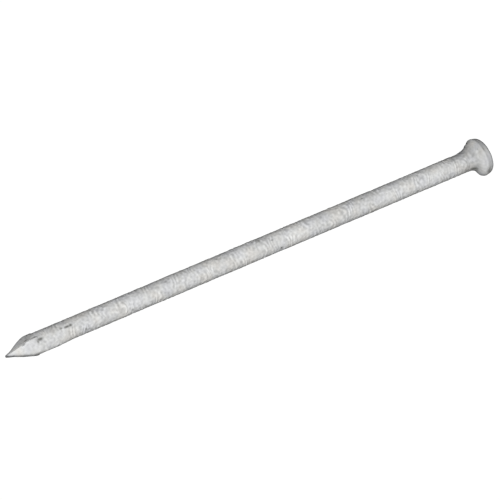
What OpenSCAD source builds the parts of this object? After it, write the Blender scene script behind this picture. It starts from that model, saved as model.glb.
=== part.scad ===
// Round spike nail: one length of steel wire, headed and pointed by forging,
// then hot-dip galvanised. It lies along X, head at +X and point at -X.
// The origin is on the axis, in the plane where the head is widest.

/* [Shank] */
// Diameter of the bare steel wire
wire_d = 9.52; // [4:0.01:20]
// Length from the end of the point to the widest part of the head
spike_len = 254; // [60:0.5:400]

/* [Head] */
// Diameter of the head at its widest, bare steel
head_d = 18.5; // [8:0.1:40]
// Height from the widest part to the struck face
head_h = 3.45; // [1:0.05:10]
// Slope of the cone under the head, in degrees from square
cone_deg = 33; // [0:0.5:50]
// Lean of the head's side towards the struck face, in degrees
side_deg = 13.5; // [0:0.5:30]
// Radius of the neck, between the shank and the cone
neck_r = 5.6; // [0.5:0.1:12]
// Rounding where the head is widest
rim_r = 0.95; // [0.1:0.05:3]
// Rounding of the struck face's edge
face_r = 2.2; // [0.1:0.05:5]

/* [Point] */
// Length of the four-sided point along its ridges
point_len = 10.6; // [3:0.1:40]
// Width across the corners of the blunt end of the point
point_end_w = 0.8; // [0.2:0.05:3]
// Turn of the ridges from the vertical and the horizontal, in degrees
point_turn = 17; // [0:1:45]

/* [Zinc coating] */
// Thickness of the zinc
zinc_t = 0.09; // [0.04:0.01:0.4]

/* [Hidden] */
$fn = 96;
arc_n = 6;
wire_r = wire_d / 2;
head_r = head_d / 2;
end_r = point_end_w / 2;

// The neck can't be rounder than the cone has room for, nor the face's edge
// than the head's side has room for
neck_rad = min(neck_r, 0.98 * (head_r - wire_r) / (1 - sin(cone_deg)) - rim_r);
face_rad = min(face_r, 0.98 * (head_h - rim_r * sin(side_deg)) / (1 - sin(side_deg)));

// Centres of the three roundings, as [radius, height]: the neck's is tangent
// to the shank and the cone, the rim's to the cone and the side, the face's
// to the side and the struck face
neck_c = [wire_r + neck_rad,
    ((wire_r + neck_rad - head_r + rim_r) * sin(cone_deg) - rim_r - neck_rad) / cos(cone_deg)];
rim_c = [head_r - rim_r, 0];
face_c = [rim_c[0] + (rim_r - face_rad - (head_h - face_rad) * sin(side_deg)) / cos(side_deg),
    head_h - face_rad];

// Points of an arc, with both ends
function arc(c, rad, a0, a1) =
    [for (i = [0:arc_n]) let (a = a0 + (a1 - a0) * i / arc_n)
        [c[0] + rad * cos(a), c[1] + rad * sin(a)]];

// Half section of the headed wire before it is pointed, with a skin t thick
function section(t) = concat(
    [[0, -spike_len - 1 - t], [wire_r + t, -spike_len - 1 - t]],
    arc(neck_c, neck_rad - t, 180, 90 + cone_deg),
    arc(rim_c, rim_r + t, cone_deg - 90, side_deg),
    arc(face_c, face_rad + t, side_deg, 90),
    [[0, head_h + t]]);

// How fast the ridges leave the axis: they reach the wire's surface at
// point_len. plane_deg is the slope of the flats between them.
ridge_slope = (wire_r - end_r) / point_len;
plane_deg = atan(ridge_slope / sqrt(2));

// The four flats of the point, moved out by t
module point_flats(t) {
    reach = spike_len + head_h + 5;
    grow = t * sqrt(2) / cos(plane_deg);
    translate([0, 0, -spike_len - t])
        cylinder(h = reach, r1 = end_r + grow - t * ridge_slope,
            r2 = end_r + grow + (reach - t) * ridge_slope, $fn = 4);
}

// The spike with a skin t thick all over it
module spike(t) {
    rotate([0, 90, 0]) rotate([0, 0, point_turn]) intersection() {
        rotate_extrude() polygon(section(t));
        point_flats(t);
    }
}

module steel_spike() {
    color("DimGray") spike(0);
}

module zinc_coating() {
    color("LightGray") difference() {
        spike(zinc_t);
        spike(0);
    }
}

steel_spike();
zinc_coating();
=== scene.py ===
import math

import bpy
import numpy as np
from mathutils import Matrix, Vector


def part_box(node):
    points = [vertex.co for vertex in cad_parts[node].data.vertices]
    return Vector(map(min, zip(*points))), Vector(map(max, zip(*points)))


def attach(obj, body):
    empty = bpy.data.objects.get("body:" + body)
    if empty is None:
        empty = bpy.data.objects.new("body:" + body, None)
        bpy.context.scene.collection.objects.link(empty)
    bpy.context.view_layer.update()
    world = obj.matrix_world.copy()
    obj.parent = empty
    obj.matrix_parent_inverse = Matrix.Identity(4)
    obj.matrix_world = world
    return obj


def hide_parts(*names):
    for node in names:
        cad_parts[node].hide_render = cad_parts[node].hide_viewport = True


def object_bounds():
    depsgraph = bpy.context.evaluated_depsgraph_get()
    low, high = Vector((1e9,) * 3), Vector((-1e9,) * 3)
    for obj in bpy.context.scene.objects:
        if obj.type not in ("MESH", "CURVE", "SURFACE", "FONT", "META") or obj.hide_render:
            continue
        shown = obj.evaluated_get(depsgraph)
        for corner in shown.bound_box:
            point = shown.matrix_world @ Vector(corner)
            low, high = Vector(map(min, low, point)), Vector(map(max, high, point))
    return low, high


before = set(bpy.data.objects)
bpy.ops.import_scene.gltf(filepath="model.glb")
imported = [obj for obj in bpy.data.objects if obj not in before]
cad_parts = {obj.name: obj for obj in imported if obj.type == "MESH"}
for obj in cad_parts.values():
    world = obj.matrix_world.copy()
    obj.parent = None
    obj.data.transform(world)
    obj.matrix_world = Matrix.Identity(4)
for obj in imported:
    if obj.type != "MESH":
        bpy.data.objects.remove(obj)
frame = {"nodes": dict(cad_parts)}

# A hot-dip galvanised spike nail along X, head at +X. Lengths are in millimetres until the mesh is
# made, and angles round the axis are degrees from -Y towards +Z.

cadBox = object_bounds()
mm = 0.001
scene = bpy.context.scene
print("frame loaded:", ", ".join(frame["nodes"]))

# the drawing that the spike was forged to
spike = {
    "wireRadius": 4.76,      # bare steel
    "headRadius": 9.25,      # bare, at the widest
    "headHeight": 3.45,      # widest part to struck face
    "coneSlope": 33.0,       # degrees from square
    "sideLean": 13.5,        # degrees
    "neckRadius": 5.6,
    "rimRadius": 0.95,
    "faceRadius": 2.2,
    "pointRidge": 10.6,      # length of the point along its ridges
    "pointEnd": 0.4,         # half width across the blunt end's corners
    "ridgeTurn": -17.0,      # where the first ridge is
}
spike["tip"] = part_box("steel_spike")[0].x / mm
spike["zinc"] = round(spike["tip"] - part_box("zinc_coating")[0].x / mm, 3)

# how the real forging strays from it; pairs and threes without a note are stretches along X
forging = {
    "headShift": 0.44,                # the head sits off the axis by this
    "headLean": 3.3,                  # and leans by this many degrees
    "leanTowards": -41.6,             # in this direction
    "leanStretch": (-9, -0.5),        # the shank bends into it between these
    "tipShift": 0.42,                 # the point runs off the axis the same way
    "tipBend": 14,                    # over this length
    "neckSwell": 1.75,                # fuller neck on the high side
    "neckGrows": (-11, 7.5, 1.7),     # from here, over this length, with this power
    "neckEnds": (-3.4, -0.8),
    "bead": (-1.7, 0.8, 0.25),        # middle, half width and height of a bead on that side
    "groove": (-3.95, 0.6, -0.38),    # and of the groove behind it
    "lowSwell": 1.25,                 # a little more under the low side of the head
    "lowSide": (-78, -56),            # it comes in between these angles
    "lowGrows": (-3.2, -2.2),
    "lowEnds": (-2.0, -0.3),
    "ridgeFuller": (0.45, 0.1, 0.62, 0.1),    # ridges standing fuller than the straight taper
    "fullerFrom": (2, 8),                     # coming in between these distances from the tip
    "ridgeLimit": (6.3, 5.45, 5.75, 5.3),     # radius where each ridge levels off
    "finTail": (0.72, 0.0, 0.3, 0.0),         # metal pushed up the shank beyond each ridge
    "finEnds": (38, 30, 20.5, 30),            # where that has died away, from the tip
    "finFade": 17,                            # and over what length
    "finSpread": 27,                          # half width of a fin in degrees
    "flatsEnd": 15.9,                 # the dies stopped here, from the tip
    "flatStep": 0.22,                 # and left this step
    "stepLength": (0.45, 0.35),       # before and after that end
    "shortFlat": (-5, 24, 1.5),       # angle, half width and shortfall of the flat that stops first
    "stepWaver": (0.22, 7),           # height and number of small waves round the step
    "cornerRound": 0.2,               # taken off each ridge
    "cornerWidth": 0.55,
    "cornerFrom": (0.5, 4),           # coming in between these distances from the tip
    "alloyDepth": 0.05,               # the bath eats this much steel
    "mesh": {"head": 0.55, "point": 1.0, "shank": 3.0, "around": 48},    # spacing and count
}

# The zinc as it ran and froze, as real relief. Waves are how many are added up, the longest, the
# shortest and, where they run round the axis, the most turns.
zincRelief = {
    "seed": 7,
    "ripplePitch": 1.92,              # fine waves across the shank
    "rippleHeight": 0.05,
    "rippleDrift": 0.8,               # how far they wander
    "rippleTilt": 0.4,                # and lean to one side
    "driftWaves": (30, 30, 6, 3),
    "patchWaves": (30, 45, 6, 3),     # stretches where they are strong
    "patchRange": (-0.8, 1.3),        # none below, full above
    "patchFull": 1.15,
    "runHeight": 0.03,                # long soft runs of zinc
    "runWaves": (60, 25, 5),
    "lumpHeight": 0.03,               # small lumps
    "lumpWaves": (160, 2.8, 1.15),
    "cloudWaves": (30, 130, 30),      # these change the colour only
    "gripHeight": 0.05,               # marks of the heading dies under the head
    "gripPlace": (-14.5, 3.2),        # middle and half length
    "gripPitch": 1.25,
    "gripSide": 48,
    "ashDepth": 0.05,                 # pits under the black marks
    "limits": (-0.075, 0.2),          # lowest and highest over the nominal skin
    "pointCalm": 0.6,                 # how much of it the point is spared
    "mesh": {"head": 0.33, "point": 0.34, "shank": 0.30, "around": 96},
}

# Painted shade: the zinc's colour is darkened where shade falls, in the hollows under the head, on
# some sides, at the tip and along the first ridge. A band is its middle and half width along X and
# its strength, and a side is an angle round the axis.
paintedShade = {
    "neckBand": (-4.6, 2.2, 0.8),
    "rimBand": (0.3, 0.35, 0.7),
    "rootBand": (-8.5, 3.5, 0.8),     # on the upper and lower side only
    "recessBand": (-3.5, 0.8, 0.7),   # where the neck meets the cone
    "sideBand": (-10.5, 5, 1.6),
    "cone": 0.4,
    "coneUpper": 0.5,                 # more of it on the upper side
    "coneLower": 0.5,                 # less of it on the lower side
    "upperSide": 130,
    "lowerSide": -5,
    "farSide": -50,
    "farShare": 0.3,
    "unshadedLobes": ((120, 18), (-28, 17)),    # sides of the cone left without painted shade, and half widths
    "lobesKept": 0.95,
    "tipBand": (0, 1.1, 2.4),         # from the tip
    "ridgeLine": (2, 0.7, 3.6),       # degrees past the first ridge, half width and strength
    "most": 4,
}

# small black marks in the zinc: place along X, angle, half length, half width, darkness
ashMarks = (
    (-237.4, 59, 1.6, 0.75, 1.0), (-238.6, 51, 0.6, 1.0, 0.8), (-223.4, 65, 1.5, 0.55, 0.95),
    (-221.4, 66, 0.8, 0.6, 1.0), (-226.0, 68, 0.8, 0.5, 0.7), (-214.8, 7, 0.7, 0.9, 0.6),
    (-190.4, 7, 0.8, 0.7, 0.55), (-170.9, 83, 1.0, 0.6, 0.5), (-157.7, 20, 0.7, 0.5, 0.45),
    (-143.5, 90, 1.0, 0.7, 0.5), (-121.0, 98, 1.6, 1.0, 0.55), (-114.7, 65, 0.7, 0.5, 0.6),
    (-96.0, 210, 1.2, 0.7, 0.6), (-60.0, 160, 1.5, 0.6, 0.5), (-188.0, 240, 1.4, 0.6, 0.7),
    (-30.0, 290, 0.8, 0.8, 0.5), (-239.5, 81, 1.3, 0.4, 0.5), (-243.3, 95, 0.9, 0.7, 0.8),
    (-245.2, 71, 0.9, 0.45, 0.75), (-4.2, 68, 0.9, 1.2, 0.32), (-5.2, -13, 1.5, 0.9, 1.0),
    (-13.9, 86, 2.2, 0.9, 0.3), (0.4, 66, 0.45, 0.45, 0.5), (-0.1, -9, 0.9, 1.5, 0.6),
)


def smoothStep(x, a, b):
    # 0 below a, 1 above b, and t^2 (3 - 2 t) between, where t runs from 0 to 1
    t = np.clip((x - a) / (b - a), 0, 1)
    return t * t * (3 - 2 * t)


def hump(x, middle, halfWidth, height=1.0):
    # height exp(-((x - middle) / halfWidth)^2)
    return height * np.exp(-((x - middle) / halfWidth) ** 2)


def softLess(a, b, sharp):
    # the smaller of two, rounded where they cross: -ln(exp(-sharp a) + exp(-sharp b)) / sharp
    return -np.log(np.exp(-sharp * a) + np.exp(-sharp * b)) / sharp


def turnFrom(phi, start):
    # the angle from start to phi, taken the short way, from -pi to pi
    return np.mod(phi - start + np.pi, 2 * np.pi) - np.pi


def facing(phi, degrees):
    # cosine of the angle from that side, and 0 all over the far half
    return np.clip(np.cos(phi - math.radians(degrees)), 0, 1)


def turnWaves(x, phi, rng, count, longest, shortest, mostTurns):
    # A sum of sine waves with whole numbers of turns round the axis, so it closes on itself:
    # sin(2 pi x / length + turns phi + phase), with unit variance over all the waves
    lengths = longest * (shortest / longest) ** rng.random(count)
    turns = rng.integers(-mostTurns, mostTurns + 1, count)
    phases = rng.random(count) * 2 * np.pi
    out = np.zeros(np.broadcast(x, phi).shape)
    for length, turn, phase in zip(lengths, turns, phases):
        out += np.sin(2 * np.pi * x / length + turn * phi + phase)
    return out * math.sqrt(2 / count)


def spaceWaves(x, y, z, rng, count, longest, shortest):
    # The same with plane waves in every direction of space, so it has no seam and no pole:
    # sin(k . (x, y, z) + phase), with k 2 pi / length long
    lengths = longest * (shortest / longest) ** rng.random(count)
    ways = rng.normal(size=(count, 3))
    ways = ways / np.linalg.norm(ways, axis=1)[:, None] * (2 * np.pi / lengths)[:, None]
    phases = rng.random(count) * 2 * np.pi
    out = np.zeros(np.broadcast(x, y).shape)
    for way, phase in zip(ways, phases):
        out += np.sin(way[0] * x + way[1] * y + way[2] * z + phase)
    return out * math.sqrt(2 / count)


def headSection(step):
    # Half section of the bare headed wire from the end of the shank to the middle of the struck
    # face: x, r and the outward normal. The neck is an arc tangent to shank and cone, the rim an
    # arc tangent to cone and side, the face's edge an arc tangent to side and face.
    s = spike
    cone, side = math.radians(s["coneSlope"]), math.radians(s["sideLean"])
    neckR = s["wireRadius"] + s["neckRadius"]
    rimR = s["headRadius"] - s["rimRadius"]
    neckX = ((neckR - rimR) * math.sin(cone) - s["rimRadius"] - s["neckRadius"]) / math.cos(cone)
    faceX = s["headHeight"] - s["faceRadius"]
    faceR = rimR + (s["rimRadius"] - s["faceRadius"] - faceX * math.sin(side)) / math.cos(side)

    def arc(middleX, middleR, radius, a0, a1, spacing, hollow=False):
        # x = middleX + radius sin a, r = middleR + radius cos a
        count = max(3, int(abs(math.radians(a1 - a0)) * radius / spacing) + 1)
        a = np.radians(np.linspace(a0, a1, count))
        sign = -1 if hollow else 1
        return np.stack([middleX + radius * np.sin(a), middleR + radius * np.cos(a),
                         sign * np.sin(a), sign * np.cos(a)], -1)

    def line(a, b, spacing):
        # a + (b - a) t, without its ends
        count = max(2, int(np.hypot(*(b[:2] - a[:2])) / spacing) + 1)
        return a + (b - a) * np.linspace(0, 1, count)[1:-1, None]

    neck = arc(neckX, neckR, s["neckRadius"], 180, 90 + s["coneSlope"], step, hollow=True)
    rim = arc(0, rimR, s["rimRadius"], s["coneSlope"] - 90, s["sideLean"], step * 0.6)
    edge = arc(faceX, faceR, s["faceRadius"], s["sideLean"], 90, step)
    middle = edge[-1].copy()
    middle[1] = 0.25      # the last ring, which one vertex closes
    rows = [neck, line(neck[-1], rim[0], step), rim, line(rim[-1], edge[0], step), edge,
            line(edge[-1], middle, step * 1.3), middle[None]]
    return np.concatenate(rows), neckX


def pointRadius(s, phi, skin, strayed):
    # Radius of the point at distance s from its end. Between two neighbouring ridges, at distances
    # a and b from the axis and 90 degrees apart, the flat is the chord between them:
    # r = a b / (a sin t + b cos t), with t measured from the first. Each ridge grows with s up to
    # its limit. Past the flats the section is the round wire, with fins behind the ridges.
    f = forging
    slope = (spike["wireRadius"] - spike["pointEnd"]) / spike["pointRidge"]
    overRidge = 1.45 * skin      # a skin on the flats is that much further out on a ridge
    taper = spike["pointEnd"] + overRidge + slope * s
    turn = np.mod(phi - math.radians(spike["ridgeTurn"]), 2 * np.pi)
    quarter = np.minimum((turn / (np.pi / 2)).astype(int), 3)
    t = turn - quarter * np.pi / 2
    body = np.full(np.broadcast(s, phi).shape, spike["wireRadius"] + skin)
    ridges = []
    for k in range(4):
        ridge = taper
        if strayed:
            ridge = ridge + f["ridgeFuller"][k] * smoothStep(s, *f["fullerFrom"])
            ridge = softLess(ridge, f["ridgeLimit"][k] + skin, 5)
            fade = 1 - smoothStep(s, f["finEnds"][k] - f["finFade"], f["finEnds"][k])
            fin = hump(turnFrom(turn, k * np.pi / 2), 0, math.radians(f["finSpread"]))
            body = body + fin * f["finTail"][k] * fade
        ridges.append(ridge)
    ridges = np.stack(np.broadcast_arrays(*ridges))
    a = np.take_along_axis(ridges, quarter[None], 0)[0]
    b = np.take_along_axis(ridges, ((quarter + 1) % 4)[None], 0)[0]
    chord = a * b / (a * np.sin(t) + b * np.cos(t))
    if not strayed:
        return softLess(chord, body, 7)

    # the middle of each flat runs on up the taper until it is nearly level with the wire: the
    # larger of the two, without the rise that rounding their crossing would give
    middle = np.minimum(taper / (np.sin(t) + np.cos(t)), body - f["flatStep"])
    rise = math.log(2) / 6 * np.exp(-((chord - middle) * 6) ** 2)
    chord = -softLess(-chord, -middle, 6) - rise
    fromCorner = np.minimum(t, np.pi / 2 - t) * chord
    rounding = f["cornerRound"] * smoothStep(s, *f["cornerFrom"])
    chord = chord - rounding * hump(fromCorner, 0, f["cornerWidth"])

    side, width, shortfall = f["shortFlat"]
    height, waves = f["stepWaver"]
    end = f["flatsEnd"] - hump(turnFrom(phi, math.radians(side)), 0, math.radians(width), shortfall)
    end = end + height * np.sin(waves * phi + 1)
    before, after = f["stepLength"]
    return chord + (body - chord) * smoothStep(s, end - before, end + after)


def flatsMask(fromTip, phi, skin):
    # 1 where the dies cut well into the wire, and 0 along the ridges and on the round shank
    off = np.mod(phi - math.radians(spike["ridgeTurn"]), np.pi / 2)
    offRidge = smoothStep(np.minimum(off, np.pi / 2 - off), math.radians(3), math.radians(9))
    cut = spike["wireRadius"] + skin - pointRadius(fromTip, phi, skin, False)
    return smoothStep(cut, 0.02, 0.25) * offRidge


def ashMask(x, phi):
    # the darkest of the marks, each a hump along the shank times a hump round it
    marks = np.zeros_like(x)
    for place, angle, halfLong, halfWide, dark in ashMarks:
        aside = turnFrom(phi, math.radians(angle)) * spike["wireRadius"]
        marks = np.maximum(marks, hump(x, place, halfLong) * hump(aside, 0, halfWide, dark))
    return marks


def paintedShadeMask(x, radius, phi, runs):
    # How much painted shade darkens the zinc: a sum of bands along X, some of them only on one
    # side, less the unshaded lobes, plus the tip and the line of the first ridge, times 1 + runs /
    # 4
    g = paintedShade
    upper = facing(phi, g["upperSide"])
    lower = facing(phi, g["lowerSide"]) ** 2
    sides = upper ** 4 + g["farShare"] * facing(phi, g["farSide"]) ** 2
    onCone = smoothStep(x, -4, -2)
    out = hump(x, *g["neckBand"]) + g["cone"] * smoothStep(x, -4, -1) + hump(x, *g["rimBand"])
    out = out + hump(x, *g["rootBand"]) * (upper + lower) + g["coneUpper"] * upper * onCone
    out = out * (1 - g["coneLower"] * lower * onCone) + hump(x, *g["recessBand"])
    out = out + hump(x, *g["sideBand"]) * sides
    turned = np.degrees(turnFrom(phi, 0))
    lobes = sum(hump(turned, side, width) for side, width in g["unshadedLobes"])
    out = out * (1 - g["lobesKept"] * smoothStep(x, -3.6, -2.6) * lobes)
    past, width, strength = g["ridgeLine"]
    fromTip = x - spike["tip"]
    aside = turnFrom(phi, math.radians(spike["ridgeTurn"] + past)) * radius
    ridge = hump(aside, 0, width, strength) * (1 - smoothStep(fromTip, 13, 17))
    out = out + hump(fromTip, *g["tipBand"]) + ridge
    return np.clip(out * (1 + 0.25 * runs), 0, g["most"])


def zincHeight(x, radius, phi):
    # Height of the zinc over its nominal skin, and masks for the colour: the ash marks, painted
    # shade in the troughs and painted light on the crests of the relief, and painted shade in the
    # hollows.
    # Ripples are sin(2 pi (x + drift) / pitch), strong in some stretches and absent in others; runs
    # and lumps are sums of long and short waves; the grip marks are ripples on one side only.
    z = zincRelief
    rng = np.random.default_rng(z["seed"])
    drift = z["rippleDrift"] * turnWaves(x, phi, rng, *z["driftWaves"])
    drift = drift + z["rippleTilt"] * np.sin(phi + 0.6)
    patches = turnWaves(x, phi, rng, *z["patchWaves"])
    y, up = -radius * np.cos(phi), radius * np.sin(phi)
    runs = spaceWaves(x, y, up, rng, *z["runWaves"])
    lumps = spaceWaves(x, y, up, rng, *z["lumpWaves"])
    clouds = spaceWaves(x, y / 3, up / 3, rng, *z["cloudWaves"])

    onShank = smoothStep(x, -242, -236) * (1 - smoothStep(x, -9, -6))
    onHead = smoothStep(x, -4, 0)
    atPoint = 1 - smoothStep(x, spike["tip"] + 15, spike["tip"] + 19)
    strength = smoothStep(patches, *z["patchRange"]) * z["patchFull"]
    ripple = np.sin(2 * np.pi * (x + drift) / z["ripplePitch"]) * strength * onShank
    grip = np.sin(2 * np.pi * (x + 0.35 * np.cos(2 * phi)) / z["gripPitch"])
    grip = hump(x, *z["gripPlace"]) * grip * facing(phi, z["gripSide"])
    ash = ashMask(x, phi)

    height = z["rippleHeight"] * ripple + z["gripHeight"] * grip - z["ashDepth"] * ash
    height = height + z["runHeight"] * runs * (0.35 + 0.65 * onShank)
    height = height + z["lumpHeight"] * lumps * (0.55 + 0.45 * onShank)
    # painted shade and light: the colour follows the relief, darker in its troughs and lighter on
    # its crests; the clouds are the grey's own mottling
    tone = ripple * 0.8 + lumps * (0.44 - 0.2 * onHead) + runs * (0.12 + 0.15 * onHead)
    tone = tone + clouds * 0.2 + grip * 0.5
    masks = {
        "ash": ash,
        "reliefShadeAndClouds": tone * (1 - 0.4 * smoothStep(-x, 238, 242)),
        "paintedShade": paintedShadeMask(x, radius, phi, runs),
    }
    return np.clip(height, *z["limits"]) * (1 - z["pointCalm"] * atPoint), masks


def neckStray(x, phi):
    # What the forging adds to the radius under the head: on the high side a swell that grows with a
    # power of the distance, with a bead and a groove on it, and a smaller swell on the low side
    f = forging
    high = np.cos(phi - math.radians(f["leanTowards"] + 180))
    start, length, power = f["neckGrows"]
    swell = f["neckSwell"] * np.clip(high, 0, 1) ** 1.5 * (1 - smoothStep(x, *f["neckEnds"]))
    swell = swell * np.clip((x - start) / length, 0, 1) ** power
    rings = np.clip(high, 0, 1) * (hump(x, *f["bead"]) + hump(x, *f["groove"]))
    low = f["lowSwell"] * np.clip(-high, 0, 1) ** 1.5
    low = low * smoothStep(np.degrees(turnFrom(phi, 0)), *f["lowSide"])
    low = low * smoothStep(x, *f["lowGrows"]) * (1 - smoothStep(x, *f["lowEnds"]))
    return swell + rings + low


def spikeSurface(skin, spacing, relief):
    # The whole outside as a grid of rings by angles, and masks for the materials. Each ring is x, r
    # and its normal; the skin and the relief are added along the normal. A point is then at
    # y = -r cos phi and z = r sin phi, with head and tip moved off the axis.
    f = forging
    around, tip = spacing["around"], spike["tip"]
    angles = math.radians(spike["ridgeTurn"]) + np.arange(around) * 2 * np.pi / around
    head, neckX = headSection(spacing["head"])
    pointX = tip + np.concatenate([np.arange(0, 13, spacing["point"]), np.arange(13, 19, 0.34)])
    shankStart = tip + 19
    count = int((neckX - shankStart) / spacing["shank"])
    shankX = shankStart + (neckX - shankStart) * np.arange(count) / count
    straightX = np.concatenate([pointX, shankX])
    wire = np.tile([0, spike["wireRadius"], 0, 1], (len(straightX), 1))
    wire[:, 0] = straightX
    rings = np.concatenate([wire, head])
    bareX, phi = np.meshgrid(rings[:, 0], angles, indexing="ij")
    r, normalX, normalR = rings[:, 1:2], rings[:, 2:3], rings[:, 3:4]
    onWire = (np.arange(len(rings)) < len(straightX))[:, None]

    fromTip = bareX - tip
    radius = np.where(onWire, pointRadius(fromTip, phi, skin, True), r + skin * normalR)
    endSkin = -skin * (1 - np.clip(fromTip / 15, 0, 1))
    x = bareX + np.where(onWire, endSkin, skin * normalX)
    masks = {}
    if relief:
        height, masks = zincHeight(bareX, radius, phi)
        masks["flats"] = np.where(onWire, flatsMask(fromTip, phi, skin), 0)
        x, radius = x + height * normalX, radius + height * normalR

    radius = radius + neckStray(bareX, phi)
    towards = math.radians(f["leanTowards"])
    bent = smoothStep(bareX, *f["leanStretch"])
    x = x + bent * radius * np.cos(phi - towards) * math.sin(math.radians(f["headLean"]))
    aside = bent * f["headShift"] + (1 - smoothStep(fromTip, 0, f["tipBend"])) * f["tipShift"]
    y = -radius * np.cos(phi) - aside * math.cos(towards)
    z = radius * np.sin(phi) + aside * math.sin(towards)
    return np.stack([x, y, z], -1), masks


def gridMesh(name, outer, inner=None):
    # One closed surface from a grid of rings: rings i and i + 1 and vertices j and j + 1 make a
    # face, and a single vertex at the mean of the last ring closes each end. A second grid, if
    # there is one, is the wall inside it, turned to face inwards.
    places, faces = [], []
    base = 0
    for grid, flip in ((outer, False), (inner, True)):
        if grid is None:
            continue
        rings, around = grid.shape[:2]
        j = np.arange(around)
        k = (j + 1) % around
        i = np.arange(rings - 1)[:, None] * around + base
        quads = np.stack([i + j, i + around + j, i + around + k, i + k], -1).reshape(-1, 4)
        last = base + (rings - 1) * around
        startPole = np.full(around, base + rings * around)
        start = np.stack([startPole, base + j, base + k], -1)
        stop = np.stack([startPole + 1, last + k, last + j], -1)
        tris = np.concatenate([start, stop])
        if flip:
            quads, tris = quads[:, ::-1], tris[:, ::-1]
        faces += quads.tolist() + tris.tolist()
        places += [grid.reshape(-1, 3), np.array([grid[0].mean(0), grid[-1].mean(0)])]
        base += rings * around + 2
    mesh = bpy.data.meshes.new(name)
    mesh.from_pydata((np.concatenate(places) * mm).tolist(), [], faces)
    mesh.polygons.foreach_set("use_smooth", np.ones(len(mesh.polygons), bool))
    mesh.update()
    piece = bpy.data.objects.new(name, mesh)
    scene.collection.objects.link(piece)
    return piece


def paintMask(piece, name, values):
    # one number for each vertex of the outer grid, and 0 for the rest
    full = np.zeros(len(piece.data.vertices), np.float32)
    full[:values.size] = values.ravel()
    piece.data.attributes.new(name, "FLOAT", "POINT").data.foreach_set("value", full)


core = spikeSurface(-forging["alloyDepth"], forging["mesh"], relief=False)[0]
skin, masks = spikeSurface(spike["zinc"], zincRelief["mesh"], relief=True)
steelCore = gridMesh("steelCore", core)
zincSkin = gridMesh("zincSkin", skin, core)
for maskName, values in masks.items():
    paintMask(zincSkin, maskName, values)
print("pieces made:", len(zincSkin.data.polygons), "faces in the zinc,",
      len(steelCore.data.polygons), "in the steel")


def feed(tree, socket, value):
    # a number or a colour is set on the socket, and another node's output is linked to it
    if isinstance(value, (int, float)):
        socket.default_value = value
    elif isinstance(value, tuple):
        socket.default_value = (*value, 1)
    else:
        tree.links.new(value, socket)


def spread(tree, value, lo, hi, outLo, outHi):
    # a straight line that takes lo to outLo and hi to outHi, and stops there
    node = tree.nodes.new("ShaderNodeMapRange")
    for name, number in (("Value", value), ("From Min", lo), ("From Max", hi),
                         ("To Min", outLo), ("To Max", outHi)):
        feed(tree, node.inputs[name], number)
    return node.outputs["Result"]


def combine(tree, kind, a, b):
    # a plus b, or a times b
    node = tree.nodes.new("ShaderNodeMath")
    node.operation = kind
    feed(tree, node.inputs[0], a)
    feed(tree, node.inputs[1], b)
    return node.outputs["Value"]


def mixColour(tree, kind, share, a, b):
    # a times b, or a with a share of b
    node = tree.nodes.new("ShaderNodeMix")
    node.data_type, node.blend_type = "RGBA", kind
    feed(tree, node.inputs[0], share)
    feed(tree, node.inputs[6], a)
    feed(tree, node.inputs[7], b)
    return node.outputs[2]


def grey(tree, value):
    # the same number in all three channels
    node = tree.nodes.new("ShaderNodeCombineColor")
    for channel in range(3):
        feed(tree, node.inputs[channel], value)
    return node.outputs["Color"]


def zincGrainGroup():
    # Mottling shared by both metals. Tone is a multiplier near 1, Tint a faint warm to cool colour,
    # Height a bump height from 0 to 1, Flecks a mask of dark inclusions.
    group = bpy.data.node_groups.new("zincGrain", "ShaderNodeTree")
    for name, kind, side in (("Vector", "Vector", "INPUT"), ("Cloud", "Float", "INPUT"),
                             ("Tone", "Float", "OUTPUT"), ("Tint", "Color", "OUTPUT"),
                             ("Height", "Float", "OUTPUT"), ("Flecks", "Float", "OUTPUT")):
        group.interface.new_socket(name=name, in_out=side, socket_type="NodeSocket" + kind)
    source = group.nodes.new("NodeGroupInput")
    sink = group.nodes.new("NodeGroupOutput")

    def noise(scale, detail, rough, offset):
        # fractal noise of its own part of space
        shift = group.nodes.new("ShaderNodeVectorMath")
        shift.operation = "ADD"
        shift.inputs[1].default_value = (offset, offset * 0.37, -offset)
        feed(group, shift.inputs[0], source.outputs["Vector"])
        node = group.nodes.new("ShaderNodeTexNoise")
        for name, value in (("Scale", scale), ("Detail", detail), ("Roughness", rough),
                            ("Vector", shift.outputs["Vector"])):
            feed(group, node.inputs[name], value)
        return node.outputs["Fac"]

    def mixOf(*parts):
        # the sum of each value times its share
        total = None
        for value, share in parts:
            part = combine(group, "MULTIPLY", value, share)
            total = part if total is None else combine(group, "ADD", total, part)
        return total

    clouds = spread(group, noise(90, 4, 0.6, 0.0), 0.3, 0.7, -1, 1)
    patches = spread(group, noise(420, 3, 0.6, 3.1), 0.3, 0.7, -1, 1)
    grain = spread(group, noise(1500, 2, 0.5, 7.7), 0.3, 0.7, -1, 1)
    mottle = mixOf((clouds, 0.5), (patches, 0.35), (grain, 0.25))
    tone = combine(group, "MULTIPLY", mottle, source.outputs["Cloud"])
    feed(group, sink.inputs["Tone"], combine(group, "ADD", tone, 1.0))

    tint = group.nodes.new("ShaderNodeValToRGB")
    stops = tint.color_ramp.elements
    stops[0].position, stops[0].color = 0.36, (1.0, 0.985, 0.955, 1)
    stops[1].position, stops[1].color = 0.64, (0.965, 0.975, 1.0, 1)
    stops.new(0.5).color = (0.985, 0.99, 0.985, 1)
    feed(group, tint.inputs["Fac"], noise(140, 2, 0.5, 11.3))
    feed(group, sink.inputs["Tint"], tint.outputs["Color"])

    height = mixOf((noise(700, 3, 0.6, 5.5), 0.6), (noise(2400, 2, 0.5, 1.9), 0.4))
    feed(group, sink.inputs["Height"], height)
    specks = spread(group, noise(330, 2, 0.55, 19.0), 0.69, 0.76, 0, 1)
    where = spread(group, noise(60, 1, 0.5, 23.0), 0.45, 0.6, 0, 1)
    feed(group, sink.inputs["Flecks"], combine(group, "MULTIPLY", specks, where))
    return group


zincGrain = zincGrainGroup()


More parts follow.
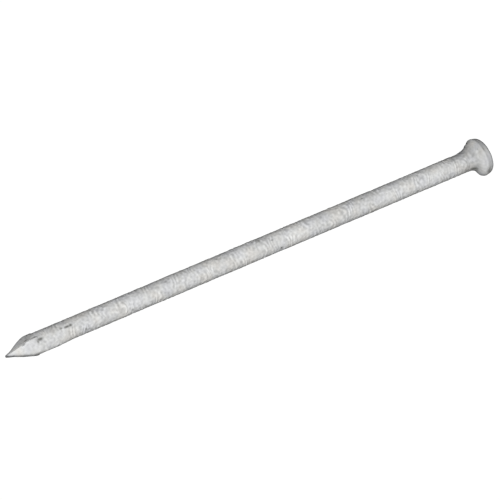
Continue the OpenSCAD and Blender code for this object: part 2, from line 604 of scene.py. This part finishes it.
def grainedMaterial(name, cloud, bumpHeight):
    # a Principled material on Object coordinates, with the grain in it and its height as a bump
    material = bpy.data.materials.new(name)
    material.use_nodes = True
    tree = material.node_tree
    bsdf = tree.nodes["Principled BSDF"]
    coords = tree.nodes.new("ShaderNodeTexCoord")
    grain = tree.nodes.new("ShaderNodeGroup")
    grain.node_tree = zincGrain
    feed(tree, grain.inputs["Cloud"], cloud)
    feed(tree, grain.inputs["Vector"], coords.outputs["Object"])
    bump = tree.nodes.new("ShaderNodeBump")
    bump.inputs["Strength"].default_value = 1.0
    bump.inputs["Distance"].default_value = bumpHeight
    feed(tree, bump.inputs["Height"], grain.outputs["Height"])
    feed(tree, bsdf.inputs["Normal"], bump.outputs["Normal"])
    return material, tree, bsdf, grain


zincLook = {
    "base": (0.705, 0.705, 0.702),
    "fleck": (0.15, 0.15, 0.14),
    "cloud": 0.07,           # how cloudy the grey is
    "reliefShadeAndClouds": 0.24,          # painted shade in the troughs and painted light on the crests of the relief
    "paintedShade": 0.16,           # what is left of the colour under the deepest painted shade
    "flats": 0.97,           # and on the flats of the point
    "ash": 0.9,              # how black the ash marks get
    "roughness": 0.75,
    "specular": 0.3,
    "outlineShade": 0.87,          # painted shade along the outline: what the tinted coat lets through straight on, and less at a slant
    "bump": 0.00006,         # metres
}


def zincMaterial():
    # base colour times the grain's tone and tint, with flecks, then times one grey for each mask
    look = zincLook
    material, tree, bsdf, grain = grainedMaterial("hotDipZinc", look["cloud"], look["bump"])

    def mask(name, lo, hi, outLo, outHi):
        attribute = tree.nodes.new("ShaderNodeAttribute")
        attribute.attribute_name = name
        return spread(tree, attribute.outputs["Fac"], lo, hi, outLo, outHi)

    def shade(colour, by):
        return mixColour(tree, "MULTIPLY", 1.0, colour, by)

    swing = look["reliefShadeAndClouds"]
    colour = shade(look["base"], grey(tree, grain.outputs["Tone"]))
    colour = shade(colour, grain.outputs["Tint"])
    colour = mixColour(tree, "MIX", grain.outputs["Flecks"], colour, look["fleck"])
    colour = shade(colour, grey(tree, mask("flats", 0, 1, 1, look["flats"])))
    # painted shade in the troughs and painted light on the crests of the relief, with the clouds'
    # mottling
    colour = shade(colour, grey(tree, mask("reliefShadeAndClouds", -1.5, 1.5, 1 - swing, 1 + swing)))
    # painted shade: darker in the hollows under the head, on some sides, at the tip and along the
    # first ridge
    colour = shade(colour, grey(tree, mask("paintedShade", 0, paintedShade["most"], 1, look["paintedShade"])))
    colour = mixColour(tree, "MIX", mask("ash", 0.08, 0.8, 0, look["ash"]), colour, look["fleck"])
    feed(tree, bsdf.inputs["Base Color"], colour)
    bsdf.inputs["Metallic"].default_value = 0
    bsdf.inputs["Roughness"].default_value = look["roughness"]
    bsdf.inputs["Specular IOR Level"].default_value = look["specular"]
    # painted shade along the outline: a coat that only absorbs, darkening the zinc more where it is
    # seen at a slant
    bsdf.inputs["Coat Weight"].default_value = 1
    bsdf.inputs["Coat Roughness"].default_value = 1
    bsdf.inputs["Coat IOR"].default_value = 1      # it absorbs and doesn't mirror
    bsdf.inputs["Coat Tint"].default_value = (look["outlineShade"], look["outlineShade"], look["outlineShade"], 1)
    return material


steelLook = {
    "base": (0.30, 0.29, 0.28),
    "cloud": 0.25,
    "roughness": 0.42,
    "bump": 0.00002,         # metres
}


def steelMaterial():
    # base colour times the grain's tone
    look = steelLook
    material, tree, bsdf, grain = grainedMaterial("forgedSteel", look["cloud"], look["bump"])
    tone = grey(tree, grain.outputs["Tone"])
    feed(tree, bsdf.inputs["Base Color"], mixColour(tree, "MULTIPLY", 1.0, look["base"], tone))
    bsdf.inputs["Metallic"].default_value = 1
    bsdf.inputs["Roughness"].default_value = look["roughness"]
    return material


zincSkin.data.materials.append(zincMaterial())
steelCore.data.materials.append(steelMaterial())
print("materials made")

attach(zincSkin, "root")
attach(steelCore, "root")
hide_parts("zinc_coating")
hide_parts("steel_spike")

# the studio, in metres; azimuth 0 is the -Y side
studio = {
    "camera": {"azimuth": -31.32, "elevation": 43.91, "distance": 2.0, "fieldOfView": 6.584},
    "aimX": -0.12542,        # the camera looks at this place on the axis
    "aimUp": 0.001222,       # raised in the frame by this
    "floorSize": 6.0,
    "floorGap": 0.0006,      # under the drawing's lowest point
    "floorGrey": 0.1,        # what the floor gives back to the spike
    "white": 1.04,           # floor and surroundings, as seen
    "skyLight": 0.03,
}
lights = {
    "keyLight": {"azimuth": -34.5, "elevation": 36, "distance": 6.0, "size": 1.5, "watts": 435},
    "backFill": {"azimuth": 180, "elevation": 2, "distance": 2.0, "size": 0.8, "watts": 18},
    "faceFill": {"azimuth": 92, "elevation": 2, "distance": 2.0, "size": 0.8, "watts": 12},
}


def addObject(name, data):
    thing = bpy.data.objects.new(name, data)
    scene.collection.objects.link(thing)
    return thing


def lookFrom(azimuth, elevation):
    # unit vector from the spike towards that direction: (sin a cos e, -cos a cos e, sin e)
    a, e = math.radians(azimuth), math.radians(elevation)
    return Vector((math.sin(a) * math.cos(e), -math.cos(a) * math.cos(e), math.sin(e)))


def placeFacing(thing, aim, towards, distance):
    # at aim + distance towards, looking back at aim
    thing.location = aim + towards * distance
    thing.rotation_mode = "QUATERNION"
    thing.rotation_quaternion = (-towards).to_track_quat("-Z", "Y")


def whiteForCamera(tree, outKind, seenKind, litKind):
    # the camera sees plain white, and every other ray meets the second shader, which is given back
    tree.nodes.clear()
    out, mix, path, seen, lit = [tree.nodes.new("ShaderNode" + kind) for kind in
                                 (outKind, "MixShader", "LightPath", seenKind, litKind)]
    feed(tree, seen.inputs["Color"], (1, 1, 1))
    feed(tree, seen.inputs["Strength"], studio["white"])
    feed(tree, mix.inputs["Fac"], path.outputs["Is Camera Ray"])
    feed(tree, mix.inputs[1], lit.outputs[0])
    feed(tree, mix.inputs[2], seen.outputs[0])
    feed(tree, out.inputs["Surface"], mix.outputs["Shader"])
    return lit


view = studio["camera"]
back = lookFrom(view["azimuth"], view["elevation"])
up = (-back).to_track_quat("-Z", "Y") @ Vector((0, 1, 0))
cam = addObject("camera", bpy.data.cameras.new("camera"))
placeFacing(cam, Vector((studio["aimX"], 0, 0)) + up * studio["aimUp"], back, view["distance"])
cam.data.angle = math.radians(view["fieldOfView"])
cam.data.clip_end = 50
bpy.context.scene.camera = cam

lo, hi = cadBox
half = studio["floorSize"] / 2
corners = [(-half, -half), (half, -half), (half, half), (-half, half)]
floorMesh = bpy.data.meshes.new("floor")
floorMesh.from_pydata([(*c, lo.z - studio["floorGap"]) for c in corners], [], [(0, 1, 2, 3)])
floor = addObject("floor", floorMesh)
paper = bpy.data.materials.new("paperWhite")
paper.use_nodes = True
dull = whiteForCamera(paper.node_tree, "OutputMaterial", "Emission", "BsdfDiffuse")
feed(paper.node_tree, dull.inputs["Color"], (studio["floorGrey"],) * 3)
floorMesh.materials.append(paper)

world = bpy.data.worlds.new("studio")
world.use_nodes = True
sky = whiteForCamera(world.node_tree, "OutputWorld", "Background", "Background")
feed(world.node_tree, sky.inputs["Color"], (1, 1, 1))
feed(world.node_tree, sky.inputs["Strength"], studio["skyLight"])
scene.world = world

for name, light in lights.items():
    lampData = bpy.data.lights.new(name, "AREA")
    lampData.shape = "DISK"
    lampData.size = light["size"]
    lampData.energy = light["watts"]
    lamp = addObject(name, lampData)
    towards = lookFrom(light["azimuth"], light["elevation"])
    placeFacing(lamp, (lo + hi) / 2, towards, light["distance"])
    lamp.visible_camera = False

scene.view_settings.view_transform = "Standard"
scene.view_settings.look = "None"
print("studio set:", len(lights), "lights, camera", view["distance"], "m away")
